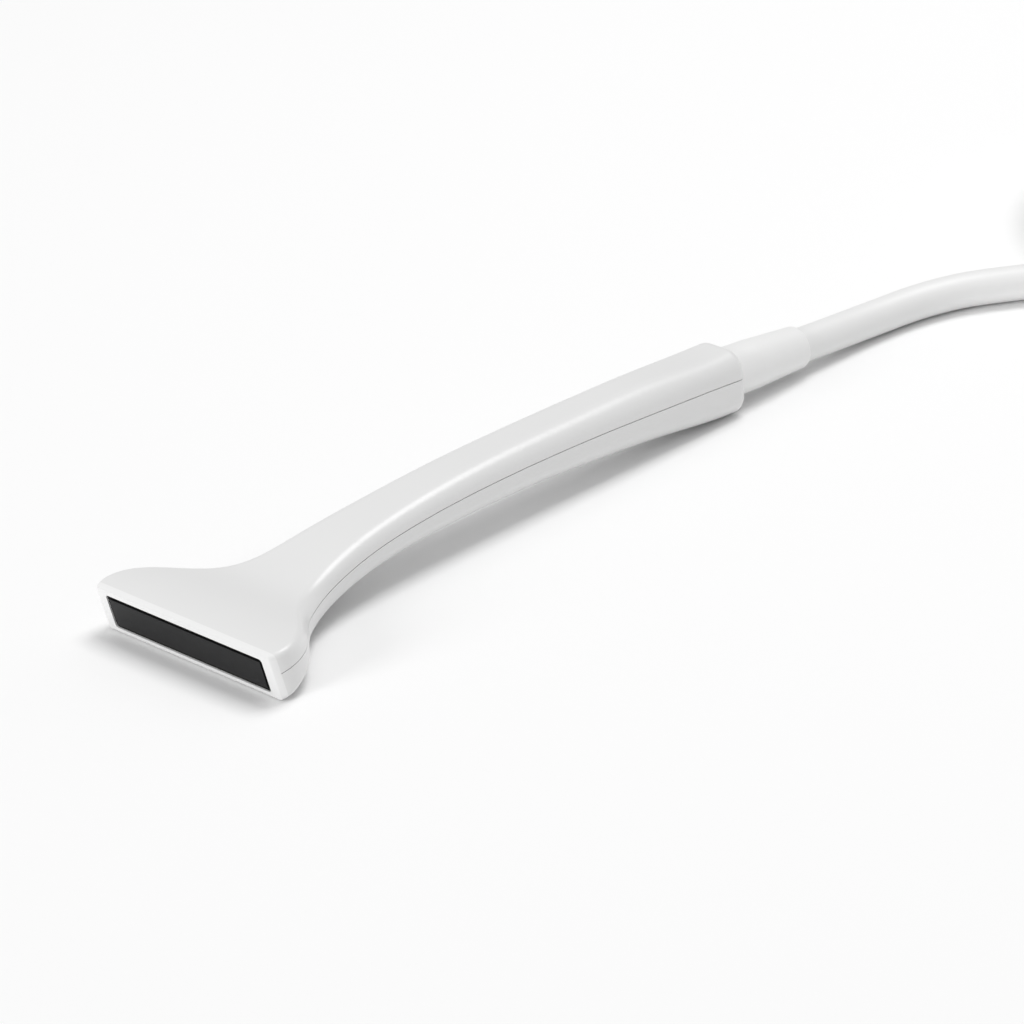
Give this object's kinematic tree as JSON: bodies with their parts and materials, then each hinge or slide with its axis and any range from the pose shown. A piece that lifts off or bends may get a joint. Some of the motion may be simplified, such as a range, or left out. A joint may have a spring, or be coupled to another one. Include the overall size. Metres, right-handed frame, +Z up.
{
  "type": "ultrasound transducer probe",
  "caption": "White linear-array ultrasound probe: wide flat head with a dark lens, slim arched handle, strain relief, thick cable coiled and tied, and a locking connector",
  "frame": {"origin": "on the surface the probe lies on, under the middle of its bounding box, cable and connector left out", "axes": "+X across the head, +Y from the lens back along the handle to the cable, +Z up from the surface; the lens looks along -Y"},
  "size_m": [0.093, 0.3305, 0.0473],
  "materials": {
    "housing_white": "satin",
    "boot_white": "matte",
    "cable_white": "satin",
    "lens_grey": "matte",
    "seal_black": "satin",
    "matching_grey": "matte",
    "crystal_cream": "matte",
    "backing_black": "matte",
    "frame_metal": "brushed",
    "flex_amber": "glossy",
    "board_green": "satin",
    "connector_ivory": "matte",
    "screw_steel": "brushed",
    "shield_copper": "brushed",
    "wires_blue": "satin",
    "ferrule_brass": "brushed",
    "tie_black": "matte",
    "plug_grey": "satin",
    "contact_black": "matte",
    "contact_gold": "polished",
    "shaft_steel": "brushed",
    "knob_grey": "satin"
  },
  "bodies": {
    "probe": {"upper_shell": "housing_white", "lower_shell": "housing_white", "nose_ring": "housing_white", "lens_seal": "seal_black", "acoustic_lens": "lens_grey", "matching_layer": "matching_grey", "crystal_array": "crystal_cream", "backing_block": "backing_black", "array_frame": "frame_metal", "flex_circuit_upper": "flex_amber", "flex_circuit_lower": "flex_amber", "interconnect_board": "board_green", "board_connectors": "connector_ivory", "board_screws": "screw_steel", "shield_cover": "shield_copper", "wire_bundle": "wires_blue", "cable_ferrule": "ferrule_brass", "strain_relief_boot": "boot_white", "cable_run": "cable_white", "cable_coil": "cable_white", "cable_tie": "tie_black", "cable_tail": "cable_white", "connector_upper_cover": "plug_grey", "connector_lower_cover": "plug_grey", "connector_boot": "boot_white", "plug_frame": "frame_metal", "contact_block": "contact_black", "contact_pins": "contact_gold", "connector_board": "board_green", "connector_wires": "wires_blue", "connector_screws": "screw_steel", "cable_clamp": "frame_metal", "clamp_screws": "screw_steel", "shaft_bush": "ferrule_brass"},
    "lock": {"lock_shaft": "shaft_steel", "lock_knob": "knob_grey"}
  },
  "joints": [
    {"name": "lock_turn", "type": "hinge", "parent": "probe", "child": "lock", "pos_m": [0.0345, 0.21076, 0.03332], "axis": [0, -1, 0], "range_deg": [0, 90]}
  ]
}
